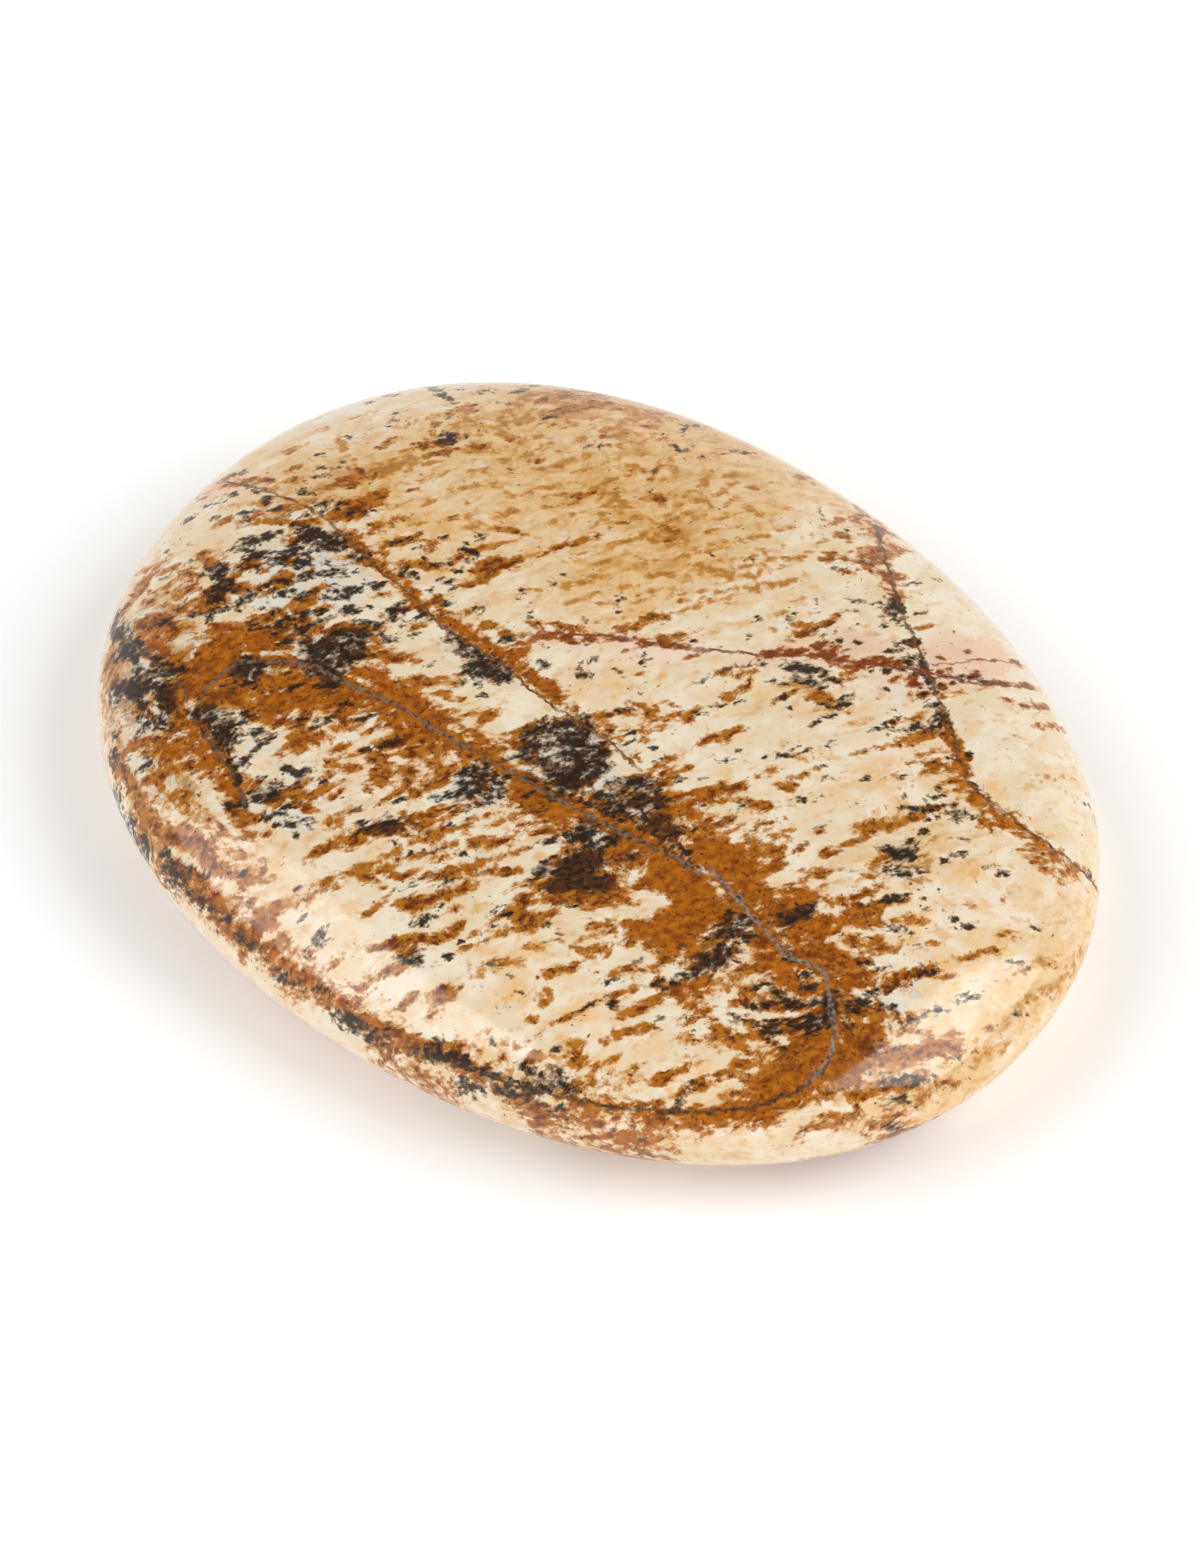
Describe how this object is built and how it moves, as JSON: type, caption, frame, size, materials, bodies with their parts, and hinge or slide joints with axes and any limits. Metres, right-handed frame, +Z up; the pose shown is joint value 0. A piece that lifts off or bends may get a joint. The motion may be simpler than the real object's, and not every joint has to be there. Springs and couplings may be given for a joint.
{
  "type": "picture jasper palm stone",
  "caption": "Flat oval palm stone of polished picture jasper with gently domed faces, a rounded rim and a small flat spot to rest on.",
  "frame": {"origin": "middle of the flat spot on the underside, on the surface that the stone rests on", "axes": "+Z up out of the crown of the top face, X along the stone's long way with the slightly narrower end at +X, Y across it"},
  "size_m": [0.045, 0.035, 0.008],
  "materials": {
    "jasper": "polished"
  },
  "bodies": {
    "root": {"jasper_stone": "jasper"}
  },
  "joints": []
}
